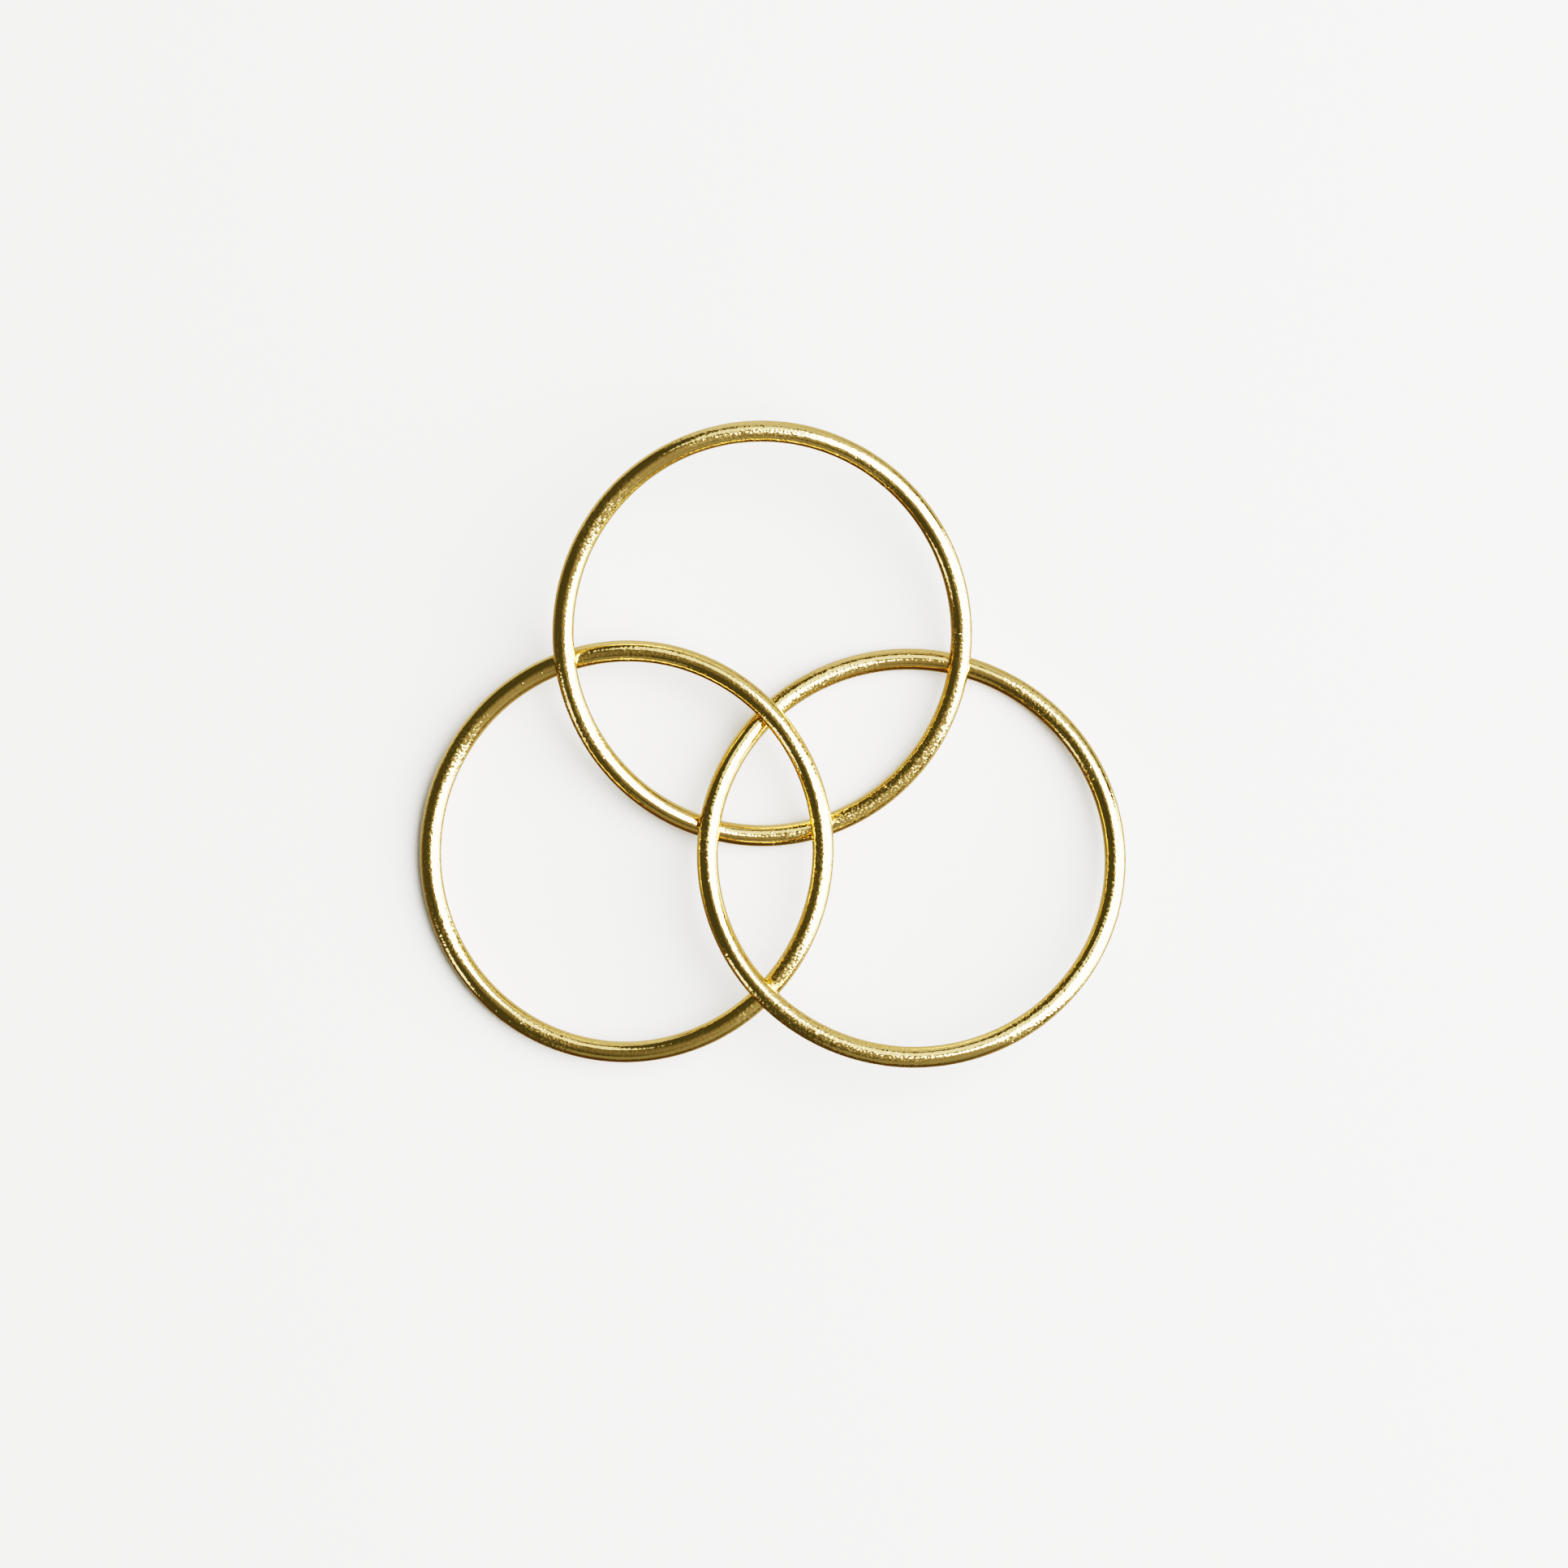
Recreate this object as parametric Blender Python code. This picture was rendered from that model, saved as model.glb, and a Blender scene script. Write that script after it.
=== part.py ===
"""Rolling finger ring: three loose bands of round gold wire, each linked through the other two.

The bands lie fanned out on a flat surface, each one resting partly on the surface and partly on its
neighbours. Units are metres, +Z is up, and the origin is on the surface under the middle of the ring.
"""

import math

import bpy
import numpy as np
from mathutils import Matrix, Vector

# Sizes of the bands and of the way they lie
WIRE = 0.0010  # diameter of the round wire
FINGER_HOLE = 0.0178  # mean inside diameter of a band
FAN_RADIUS = 0.00729  # from the middle of the three bands to the centre of each
TOUCH_GAP = 0.0001  # left between two bands where one rests on the other

# One row for each band. Its centre lies across (+X) and up (+Y) from the middle of the three, in
# shares of FAN_RADIUS. Handmade bands are a little oval: length and width are shares of the mean
# diameter of the wire's centreline, and bearing is the angle in degrees from +X to the length.
BANDS = (
    # name, across, up, length, width, bearing
    ("band_top", -0.027, 0.941, 1.020, 0.990, 100.0),
    ("band_left", -0.902, -0.452, 1.002, 0.981, 72.0),
    ("band_right", 0.929, -0.489, 1.017, 0.997, -13.0),
)

# One row for each pair: at the pair's outer crossing, away from the middle of the three, the first
# band lies over the second, and at the inner crossing it passes under, so the two are linked.
LINKS = (
    ("band_top", "band_left"),
    ("band_top", "band_right"),
    ("band_right", "band_left"),
)

# Fineness of the wire
BEVEL_RESOLUTION = 4
SIDE_COUNT = 4 + 2 * BEVEL_RESOLUTION  # flat sides round the wire
LOOP_POINTS = 96

# How the resting planes are worked out
LEVEL_ROUNDS = 8  # times that crossings and planes are worked out from each other
BARRIER_WEIGHTS = 0.3 ** np.arange(16)
MOST_STEPS = 40

# Polished yellow gold
GOLD = {"Base Color": (0.86, 0.66, 0.30, 1.0), "Metallic": 1.0, "Roughness": 0.16}


class Band:
    """One closed loop of wire: a flat ellipse with its plan centre, its size and its plane."""

    def __init__(self, name, across, up, length, width, bearing):
        centreline = FINGER_HOLE + WIRE
        self.name = name
        self.centre = np.array([across, up]) * FAN_RADIUS
        self.half = np.array([length, width]) * centreline / 2
        self.bearing = math.radians(bearing)
        self.lay(np.zeros(3))

    def lay(self, plane):
        """Sets the band's plane: centre height, and rise per unit length along X and along Y."""
        self.height = plane[0]
        self.slope = np.array(plane[1:])
        normal = Vector((-plane[1], -plane[2], 1.0)).normalized()
        tilt = Vector((0.0, 0.0, 1.0)).rotation_difference(normal).to_matrix()
        self.turn = tilt @ Matrix.Rotation(self.bearing, 3, "Z")
        self.axes = np.array(self.turn)[:, :2] * self.half

    def point(self, angle):
        """A point of the centreline, at an angle counted from the band's length."""
        centre = np.array([*self.centre, self.height])
        return centre + self.axes @ np.array([math.cos(angle), math.sin(angle)])

    def tangent(self, angle):
        """The direction in which the centreline runs there, not of unit length."""
        return self.axes @ np.array([-math.sin(angle), math.cos(angle)])

    def angle_towards(self, place):
        """The angle of the centreline point that lies towards a place in plan."""
        offset = np.linalg.solve(self.axes[:2], place - self.centre)
        return math.atan2(offset[1], offset[0])

    def lowest_angle(self):
        """The angle of the centreline's lowest point."""
        return math.atan2(-self.axes[2, 1], -self.axes[2, 0])

    def tilt(self):
        """The angle between the band's plane and the surface."""
        return math.atan(np.linalg.norm(self.slope))


def crossing(first, second, side):
    """Angles on two bands at which they cross in plan; side is 1 for outer and -1 for inner.

    Two circles of the mean radius cross at a first place. Steps along the tangents then bring the two
    plan points, one on each ellipse, together."""
    between = second.centre - first.centre
    middle = (first.centre + second.centre) / 2
    radius = np.mean([first.half, second.half])
    across = np.array([-between[1], between[0]]) / np.linalg.norm(between)
    outward = across * np.sign(across @ middle)
    reach = math.sqrt(radius**2 - between @ between / 4)
    place = middle + side * outward * reach
    angles = np.array([first.angle_towards(place), second.angle_towards(place)])
    for _ in range(MOST_STEPS):
        miss = (first.point(angles[0]) - second.point(angles[1]))[:2]
        slopes = np.column_stack([first.tangent(angles[0])[:2], -second.tangent(angles[1])[:2]])
        angles = angles - np.linalg.solve(slopes, miss)
    return angles


def crossings(bands):
    """Every crossing as (upper band, lower band, plan place, least height between centrelines).

    Where the wires are inclined, the height between them is more than their distance apart, which is
    measured along the common normal of the two."""
    found = []
    for over_outside, under_outside in LINKS:
        first, second = bands[over_outside], bands[under_outside]
        for side, upper, lower in ((1, first, second), (-1, second, first)):
            angles = crossing(first, second, side)
            normal = np.cross(first.tangent(angles[0]), second.tangent(angles[1]))
            lean = np.linalg.norm(normal) / abs(normal[2])
            place = first.point(angles[0])[:2]
            found.append((upper, lower, place, (WIRE + TOUCH_GAP) * lean))
    return found


def limits_on_planes(bands, contacts):
    """The crossings' limits as rows @ planes >= rises, for the planes of all bands in one list.

    Lengths are in wires. A plane's height at a place is its centre height plus slope times offset."""
    order = {name: 3 * i for i, name in enumerate(bands)}
    rows = np.zeros((len(contacts), 3 * len(bands)))
    rises = np.zeros(len(contacts))
    for row, (upper, lower, place, rise) in enumerate(contacts):
        for band, sign in ((upper, 1.0), (lower, -1.0)):
            start = order[band.name]
            offset = (place - band.centre) / WIRE
            rows[row, start : start + 3] = sign * np.array([1.0, *offset])
        rises[row] = rise / WIRE
    return rows, rises


def barrier(planes, rows, rises, spreads, weight):
    """Value, gradient and second derivatives of height minus weight times the logs of all room left.

    The room at a crossing is its height beyond the least. The room under a band is how far its wire,
    half a wire below the centreline's lowest point, stays above the surface."""
    size = len(planes)
    room = rows @ planes - rises
    if np.any(room <= 0):
        return math.inf, None, None
    heights = np.zeros(size)
    heights[::3] = 1.0
    value = heights @ planes - weight * np.log(room).sum()
    gradient = heights - weight * rows.T @ (1 / room)
    second = weight * (rows.T / room**2) @ rows
    for i, spread in enumerate(spreads):
        start = 3 * i
        slope = planes[start + 1 : start + 3]
        drop = math.sqrt(slope @ spread @ slope)
        under = planes[start] - drop - 0.5
        if under <= 0:
            return math.inf, None, None
        steep = spread @ slope / drop
        change = np.array([1.0, *-steep])
        bend = np.zeros((3, 3))
        bend[1:, 1:] = (spread - np.outer(steep, steep)) / drop
        value -= weight * math.log(under)
        gradient[start : start + 3] -= weight * change / under
        block = weight * (np.outer(change, change) / under**2 + bend / under)
        second[start : start + 3, start : start + 3] += block
    return value, gradient, second


def lowest_planes(bands, contacts):
    """The planes in which the bands lie lowest, with every crossing and the surface kept clear.

    Loose bands sink until the sum of their centre heights can't get less. The start has double the
    height at each crossing, lifted clear of the surface. Steps down the slope, judged by its bend,
    then find the least sum inside a barrier round the limits, again for each weaker barrier."""
    rows, rises = limits_on_planes(bands, contacts)
    spreads = [band.axes[:2] @ band.axes[:2].T / WIRE**2 for band in bands.values()]
    planes = np.linalg.lstsq(rows, 2 * rises, rcond=None)[0]
    drops = [math.sqrt(planes[3 * i + 1 : 3 * i + 3] @ spread @ planes[3 * i + 1 : 3 * i + 3])
             for i, spread in enumerate(spreads)]
    planes[::3] += 1.0 + max(drop - height for drop, height in zip(drops, planes[::3]))
    for weight in BARRIER_WEIGHTS:
        for _ in range(MOST_STEPS):
            value, gradient, second = barrier(planes, rows, rises, spreads, weight)
            step = -np.linalg.solve(second, gradient)
            for share in 0.5 ** np.arange(MOST_STEPS):
                if barrier(planes + share * step, rows, rises, spreads, weight)[0] < value:
                    break
            else:
                break
            planes = planes + share * step
    return planes


def settle(bands):
    """Lays every band in its resting plane.

    Where the bands cross depends a little on how they are tilted, so both are worked out in turn."""
    for _ in range(LEVEL_ROUNDS):
        planes = lowest_planes(bands, crossings(bands))
        for i, band in enumerate(bands.values()):
            height, along_x, along_y = planes[3 * i : 3 * i + 3]
            band.lay(np.array([height * WIRE, along_x, along_y]))


def middle_of_box(bands):
    """The plan middle of the box round all the bands."""
    reach = [np.linalg.norm(band.axes[:2], axis=1) for band in bands]
    high = np.max([band.centre + r for band, r in zip(bands, reach)], axis=0)
    low = np.min([band.centre - r for band, r in zip(bands, reach)], axis=0)
    return (high + low) / 2


def gold(name):
    """Polished yellow gold."""
    material = bpy.data.materials.new(name)
    material.use_nodes = True
    shader = material.node_tree.nodes["Principled BSDF"]
    for setting, value in GOLD.items():
        shader.inputs[setting].default_value = value
    return material


def make_band(band, middle, collection):
    """Draws a band as one closed loop of wire without a seam.

    The wire's flat sides lie on the round wire's surface. Two points of the loop stand level on
    either side of the lowest one, and the sides are turned by the band's tilt, so that the band rests
    on one flat side."""
    curve = bpy.data.curves.new(band.name, "CURVE")
    curve.dimensions = "3D"
    curve.twist_mode = "Z_UP"
    curve.bevel_depth = WIRE / 2 / math.cos(math.pi / SIDE_COUNT)
    curve.bevel_resolution = BEVEL_RESOLUTION
    curve.render_resolution_u = 0
    step = 2 * math.pi / LOOP_POINTS
    spline = curve.splines.new("POLY")
    spline.points.add(LOOP_POINTS - 1)
    for i, point in enumerate(spline.points):
        angle = band.lowest_angle() + (i + 0.5) * step
        point.co = (band.half[0] * math.cos(angle), band.half[1] * math.sin(angle), 0.0, 1.0)
        point.tilt = math.pi / SIDE_COUNT - band.tilt()
    spline.use_cyclic_u = True
    spline.use_smooth = True
    curve.materials.append(gold(band.name + "_gold"))
    loop = bpy.data.objects.new(band.name, curve)
    loop.location = (*(band.centre - middle), band.height)
    loop.rotation_euler = band.turn.to_euler()
    collection.objects.link(loop)


def main():
    for old in list(bpy.data.objects):
        bpy.data.objects.remove(old, do_unlink=True)
    collection = bpy.data.collections.new("triple_band_ring")
    bpy.context.scene.collection.children.link(collection)
    bands = {row[0]: Band(*row) for row in BANDS}
    settle(bands)
    middle = middle_of_box(bands.values())
    for band in bands.values():
        make_band(band, middle, collection)


main()
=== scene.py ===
import math

import bpy
import numpy as np
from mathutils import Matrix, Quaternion, Vector


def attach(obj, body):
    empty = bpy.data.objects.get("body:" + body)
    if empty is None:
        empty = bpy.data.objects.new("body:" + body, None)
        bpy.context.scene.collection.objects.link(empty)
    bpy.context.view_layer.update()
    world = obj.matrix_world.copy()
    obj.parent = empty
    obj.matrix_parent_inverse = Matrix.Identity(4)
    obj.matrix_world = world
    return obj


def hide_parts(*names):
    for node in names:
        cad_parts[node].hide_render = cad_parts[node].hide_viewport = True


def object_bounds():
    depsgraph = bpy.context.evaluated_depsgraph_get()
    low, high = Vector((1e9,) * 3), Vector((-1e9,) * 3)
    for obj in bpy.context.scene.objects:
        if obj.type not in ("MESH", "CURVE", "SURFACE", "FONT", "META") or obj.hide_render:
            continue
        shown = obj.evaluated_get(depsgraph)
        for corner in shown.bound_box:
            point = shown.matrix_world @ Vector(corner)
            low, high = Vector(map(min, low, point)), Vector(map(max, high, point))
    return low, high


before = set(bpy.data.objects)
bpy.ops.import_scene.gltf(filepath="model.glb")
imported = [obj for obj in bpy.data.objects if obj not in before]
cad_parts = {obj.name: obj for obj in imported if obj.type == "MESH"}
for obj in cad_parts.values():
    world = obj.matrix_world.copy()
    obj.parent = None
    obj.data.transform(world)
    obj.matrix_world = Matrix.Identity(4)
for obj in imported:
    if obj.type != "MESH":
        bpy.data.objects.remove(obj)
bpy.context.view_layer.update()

# The three bands
# Each is a closed loop of yellow gold wire, drawn round, bent, soldered and polished. They are loose
# and linked through each other, and lie where the frame has them.

MM = 0.001
WIRE_DIAMETER = 1.0 * MM
LOOP_STEPS = 720  # along a band
WIRE_STEPS = 60  # round the wire
SWELL = 0.030  # share of the wire's radius, which is divided by a swell's number of waves
SWELL_WAVES = (3, 5, 8, 13, 19, 27)


def centreline(node):
    """Middle, two half axes and normal of a band's centreline, an ellipse, from its CAD node.

    The node's corners stand in even rings round the centreline. Their mean is its middle, and their
    principal directions are its axes and normal. A half axis squared is twice the spread along it,
    less the spread along the normal, which is the wire's own. The normal points up and the long half
    axis towards the front, so that a band's swells always start at the same place."""
    corners = np.empty(3 * len(node.data.vertices), np.float32)
    node.data.vertices.foreach_get("co", corners)
    corners = corners.reshape(-1, 3).astype(float)
    middle = corners.mean(axis=0)
    spread, directions = np.linalg.eigh(np.cov((corners - middle).T))
    normal = directions[:, 0] * np.sign(directions[2, 0])
    long_way = -directions[:, 2] * np.sign(directions[1, 2])
    short_way = np.cross(normal, long_way)
    half_long = math.sqrt(2 * spread[2] - spread[0])
    half_short = math.sqrt(2 * spread[1] - spread[0])
    return middle, half_long * long_way, half_short * short_way, normal


def swell(along, around, seed):
    """How much thicker than its mean the wire is, as a share of its radius.

    Hand drawing and polishing leave it a little uneven: a sum of slow waves along the band, each
    leaning to another side of the wire, with whole counts of waves so that the loop closes."""
    random = np.random.default_rng(seed)
    total = np.zeros(np.broadcast(along, around).shape)
    for waves in SWELL_WAVES:
        phase, side = random.uniform(0, 2 * math.pi, 2)
        lobes = random.integers(0, 3)
        total += SWELL / waves * np.sin(waves * along + phase) * np.cos(lobes * around + side)
    return total


def make_band(name, node, seed):
    """A round wire carried along its centreline, as a grid of two angles.

    The point at (along, around) is middle + a cos(along) + b sin(along), the centreline, plus the
    wire's radius times cos(around) outward in the band's plane and sin(around) along its normal."""
    middle, a, b, normal = centreline(node)
    along = np.linspace(0, 2 * math.pi, LOOP_STEPS, endpoint=False)[:, None]
    around = np.linspace(0, 2 * math.pi, WIRE_STEPS, endpoint=False)[None, :]
    line = middle + np.cos(along) * a + np.sin(along) * b
    outward = np.cos(along) * a / (a @ a) + np.sin(along) * b / (b @ b)
    outward /= np.linalg.norm(outward, axis=1, keepdims=True)
    radius = WIRE_DIAMETER / 2 * (1 + swell(along, around, seed))[..., None]
    side = np.cos(around)[..., None] * outward[:, None] + np.sin(around)[..., None] * normal
    points = line[:, None] + radius * side

    row, column = np.mgrid[0:LOOP_STEPS, 0:WIRE_STEPS]
    next_row, next_column = (row + 1) % LOOP_STEPS, (column + 1) % WIRE_STEPS
    corner = [r * WIRE_STEPS + c for r, c in ((row, column), (next_row, column),
                                              (next_row, next_column), (row, next_column))]
    faces = np.stack(corner, axis=-1).reshape(-1, 4)
    mesh = bpy.data.meshes.new(name)
    mesh.vertices.add(LOOP_STEPS * WIRE_STEPS)
    mesh.vertices.foreach_set("co", points.reshape(-1).astype(np.float32))
    mesh.loops.add(faces.size)
    mesh.loops.foreach_set("vertex_index", faces.reshape(-1).astype(np.int32))
    mesh.polygons.add(len(faces))
    mesh.polygons.foreach_set("loop_start", np.arange(0, faces.size, 4, dtype=np.int32))
    mesh.update(calc_edges=True)
    mesh.shade_smooth()
    band = bpy.data.objects.new(name, mesh)
    bpy.context.scene.collection.objects.link(band)
    return band


def linear(code):
    """A colour for a socket: each sRGB channel of a hex code made linear, with full alpha."""
    values = np.array([int(code[i:i + 2], 16) for i in (1, 3, 5)]) / 255
    line = np.where(values <= 0.04045, values / 12.92, ((values + 0.055) / 1.055) ** 2.4)
    return (*line, 1.0)


def add_node(tree, kind, settings=(), links=()):
    """Adds a node. A setting goes to the input of its name or number, or else to the property of
    its name, and each link brings another node's output to an input."""
    node = tree.nodes.new(kind)
    for name, value in dict(settings).items():
        if isinstance(name, int) or name in node.inputs:
            node.inputs[name].default_value = value
        else:
            setattr(node, name, value)
    for name, source in dict(links).items():
        tree.links.new(source, node.inputs[name])
    return node


# Yellow gold, drawn and polished by hand: a bright metal whose dark reflections stay deep olive and
# whose bright ones go nearly white. What polishing left of the grain breaks their edges into glints,
# its dull spots look like sand, more in some stretches than in others, and a few tiny specks that
# stand up catch the light as bright dots. Real grain is finer than a pixel of the render, so it is
# drawn as coarse as it needs to be to show.
GRAIN_WIDTH = 0.13 * MM
GRAIN_DEPTH = 0.012 * MM
SPECK_SPACING = 0.50 * MM
SPECK_EDGE, SPECK_TOP = 0.12, 0.02  # shares of the spacing, from a speck's middle
SPECK_HEIGHT = 1.6  # in depths of the grain
STRETCH = 4.0 * MM
SMOOTH_BELOW, GRAINY_ABOVE = 0.43, 0.57  # values of the noise, which has its mean at 0.5
SMOOTH_SHARE = 0.40  # of the grain that the smoothest stretches keep
SAND_WIDTH = 0.095 * MM
BRIGHT_BELOW, DULL_ABOVE = 0.42, 0.68  # values of the noise
POLISHED_ROUGHNESS = 0.04
SAND_ROUGHNESS = 0.235  # on top of that, in the dullest spots


def polished_gold():
    material = bpy.data.materials.new("polished_yellow_gold")
    material.use_nodes = True
    tree = material.node_tree
    shader = tree.nodes["Principled BSDF"]
    shader.inputs["Base Color"].default_value = linear("#FCD893")
    shader.inputs["Metallic"].default_value = 1.0
    place = {"Vector": add_node(tree, "ShaderNodeTexCoord").outputs["Object"]}
    stretches = add_node(tree, "ShaderNodeTexNoise", {"Scale": 1 / STRETCH, "Detail": 1.0}, place)
    share = add_node(tree, "ShaderNodeMapRange",
                     {"From Min": SMOOTH_BELOW, "From Max": GRAINY_ABOVE, "To Min": SMOOTH_SHARE},
                     {"Value": stretches.outputs["Fac"]})

    grain = add_node(tree, "ShaderNodeTexNoise", {"Scale": 1 / GRAIN_WIDTH, "Detail": 0.0}, place)
    specks = add_node(tree, "ShaderNodeTexVoronoi", {"Scale": 1 / SPECK_SPACING}, place)
    speck = add_node(tree, "ShaderNodeMapRange",
                     {"interpolation_type": "SMOOTHSTEP", "From Min": SPECK_EDGE,
                      "From Max": SPECK_TOP, "To Max": SPECK_HEIGHT},
                     {"Value": specks.outputs["Distance"]})
    height = add_node(tree, "ShaderNodeMath", {"operation": "ADD"},
                      {0: grain.outputs["Fac"], 1: speck.outputs["Result"]})
    bump = add_node(tree, "ShaderNodeBump", {"Distance": GRAIN_DEPTH},
                    {"Height": height.outputs["Value"], "Strength": share.outputs["Result"]})
    tree.links.new(bump.outputs["Normal"], shader.inputs["Normal"])

    sand = add_node(tree, "ShaderNodeTexNoise", {"Scale": 1 / SAND_WIDTH, "Detail": 0.0}, place)
    dull = add_node(tree, "ShaderNodeMapRange",
                    {"interpolation_type": "SMOOTHSTEP", "From Min": BRIGHT_BELOW,
                     "From Max": DULL_ABOVE, "To Max": SAND_ROUGHNESS},
                    {"Value": sand.outputs["Fac"]})
    rough = add_node(tree, "ShaderNodeMath", {"operation": "MULTIPLY_ADD", 2: POLISHED_ROUGHNESS},
                     {0: dull.outputs["Result"], 1: share.outputs["Result"]})
    tree.links.new(rough.outputs["Value"], shader.inputs["Roughness"])
    return material


gold = polished_gold()
for seed, node_name in enumerate(("band_top", "band_left", "band_right")):
    band = make_band(node_name.replace("band", "wire"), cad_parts[node_name], seed)
    band.data.materials.append(gold)
    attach(band, "root")
    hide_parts(node_name)

# The floor
# A plain sheet of pale paper under the ring, at the height of its lowest point. It is left out of
# the wire's reflections: those show instead a painted reflection of the floor, darker with painted
# shadow at the left and in front, which the surroundings give, and with the pale sheet in them the
# wire's edges would melt into the ground.

FLOOR_SIDE = 3.0  # metres
floor_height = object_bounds()[0][2]
floor_mesh = bpy.data.meshes.new("floor")
floor_corners = FLOOR_SIDE / 2 * np.array([(-1, -1), (1, -1), (1, 1), (-1, 1)])
floor_mesh.from_pydata(np.column_stack([floor_corners, np.full(4, floor_height)]).tolist(), [],
                       [(0, 1, 2, 3)])
floor = bpy.data.objects.new("floor", floor_mesh)
bpy.context.scene.collection.objects.link(floor)
# Uncoated paper, pressed smooth, scatters light evenly and has no sheen
paper = bpy.data.materials.new("pale_uncoated_paper")
paper.use_nodes = True
paper.node_tree.nodes["Principled BSDF"].inputs["Base Color"].default_value = linear("#F2F1EE")
paper.node_tree.nodes["Principled BSDF"].inputs["Roughness"].default_value = 0.9
floor_mesh.materials.append(paper)
floor.visible_glossy = False

# The light
# Soft panels round the ring: a large bright one at the right that reaches from the table to nearly
# overhead, a fill and a pale wall behind the ring, a dim card in front, and a low window at the left.


def direction(bearing, from_zenith):
    """The way from the ring, at a bearing counted from +X and an angle from straight up, in degrees."""
    a, b = math.radians(bearing), math.radians(from_zenith)
    return Vector((math.cos(a) * math.sin(b), math.sin(a) * math.sin(b), math.cos(b)))


def soft_panel(name, bearing, from_zenith, roll, distance, width, height, brightness):
    """A flat panel that faces the ring, turned by roll degrees about that way.

    It is as bright all over. Its power is its brightness times pi times its area."""
    light = bpy.data.lights.new(name, "AREA")
    light.shape = "RECTANGLE"
    light.size, light.size_y = width, height
    light.energy = brightness * math.pi * width * height
    way = direction(bearing, from_zenith)
    panel = bpy.data.objects.new(name, light)
    panel.location = way * distance
    facing = way.to_track_quat("Z", "Y") @ Quaternion((0, 0, 1), math.radians(roll))
    panel.rotation_euler = facing.to_euler()
    bpy.context.scene.collection.objects.link(panel)


for panel_row in (
    # name, bearing, from zenith, roll, distance, width, height, brightness
    ("panel_right", -2, 53, -22, 0.42, 0.47, 0.78, 10.0),
    ("glare_on_table_right", -5, 101, 0, 0.50, 0.50, 0.20, 3.0),
    ("fill_behind", 80, 31, -11, 0.45, 0.30, 0.25, 1.0),
    ("wall_behind", 75, 78, -25, 0.60, 1.10, 0.44, 0.46),
    ("card_in_front", -80, 72, 0, 0.50, 0.70, 0.34, 0.14),
    ("window_at_left", -148, 82, 10, 0.50, 0.10, 0.24, 1.9),
):
    soft_panel(*panel_row)

# The rest of the surroundings, mixed by direction: a dark room above the horizon, lit up near the large
# panel, and below the horizon a painted reflection of the floor: brown with painted shadow at the front
# left, where the ring's own shadow falls away from the large panel, and lit pale at the back right.
ROOM, LIT_CEILING = linear("#515649"), linear("#989690")
CEILING_GLOW = direction(-15, 35)  # towards the middle of the lit part
GLOW_EDGE = 0.50  # cosine of the angle from there to where the glow ends
# Painted floor reflection: brown where it lies in the ring's painted shadow, pale where it is lit
SHADED_FLOOR_REFLECTION, LIT_FLOOR_REFLECTION = linear("#554938"), linear("#CBC5B8")
LIT_FLOOR_WAY = direction(60, 90)
SHADED_BELOW, LIT_ABOVE = -0.85, 0.15  # cosines of the angle from there
REFLECTED_FLOOR_FROM, REFLECTED_FLOOR_BELOW = -0.06, -0.40  # drops below the horizon over which the painted floor reflection fades in

world = bpy.data.worlds.new("studio")
world.use_nodes = True
tree = world.node_tree
way = {"Vector": add_node(tree, "ShaderNodeTexCoord").outputs["Generated"]}
up = add_node(tree, "ShaderNodeSeparateXYZ", links=way)
to_glow = add_node(tree, "ShaderNodeVectorMath", {"operation": "DOT_PRODUCT", 1: CEILING_GLOW}, way)
glow = add_node(tree, "ShaderNodeMapRange",
                {"interpolation_type": "SMOOTHSTEP", "From Min": GLOW_EDGE},
                {"Value": to_glow.outputs["Value"]})
above = add_node(tree, "ShaderNodeMixRGB", {"Color1": ROOM, "Color2": LIT_CEILING},
                 {"Fac": glow.outputs["Result"]})
to_lit_floor = add_node(tree, "ShaderNodeVectorMath", {"operation": "DOT_PRODUCT", 1: LIT_FLOOR_WAY}, way)
floor_light = add_node(tree, "ShaderNodeMapRange",
                 {"interpolation_type": "SMOOTHSTEP", "From Min": SHADED_BELOW,
                  "From Max": LIT_ABOVE},
                 {"Value": to_lit_floor.outputs["Value"]})
# The painted floor reflection: painted shadow at the front left, lit at the back right
below = add_node(tree, "ShaderNodeMixRGB", {"Color1": SHADED_FLOOR_REFLECTION, "Color2": LIT_FLOOR_REFLECTION},
                 {"Fac": floor_light.outputs["Result"]})
drop = add_node(tree, "ShaderNodeMapRange", {"From Min": REFLECTED_FLOOR_FROM, "From Max": REFLECTED_FLOOR_BELOW},
                {"Value": up.outputs["Z"]})
surroundings = add_node(tree, "ShaderNodeMixRGB",
                        links={"Fac": drop.outputs["Result"], "Color1": above.outputs["Color"],
                               "Color2": below.outputs["Color"]})
tree.links.new(surroundings.outputs["Color"], tree.nodes["Background"].inputs["Color"])
bpy.context.scene.world = world

# The camera
# It looks straight down, as the photograph does. How high it stood isn't known, and the height here
# is a guess that suits a close picture of so small a thing.

CAMERA_HEIGHT = 350 * MM
PICTURE_WIDTH = 1932 / 26.2 * MM  # of the floor, for 1932 pixels at 26.2 to the millimetre
PICTURE_MIDDLE = (0.54 * MM, -1.83 * MM)  # on the floor
SENSOR_WIDTH = 36.0  # millimetres, as Blender counts it
camera_data = bpy.data.cameras.new("camera")
camera_data.sensor_width = SENSOR_WIDTH
camera_data.lens = SENSOR_WIDTH * CAMERA_HEIGHT / PICTURE_WIDTH
camera_data.clip_start = 10 * MM
camera = bpy.data.objects.new("camera", camera_data)
camera.location = (*PICTURE_MIDDLE, CAMERA_HEIGHT)
bpy.context.scene.collection.objects.link(camera)
bpy.context.scene.camera = camera
# A film's tones, with deep darks and highlights that go white as gold's do in the photograph
bpy.context.scene.view_settings.view_transform = "Filmic"
bpy.context.scene.view_settings.look = "Very High Contrast"
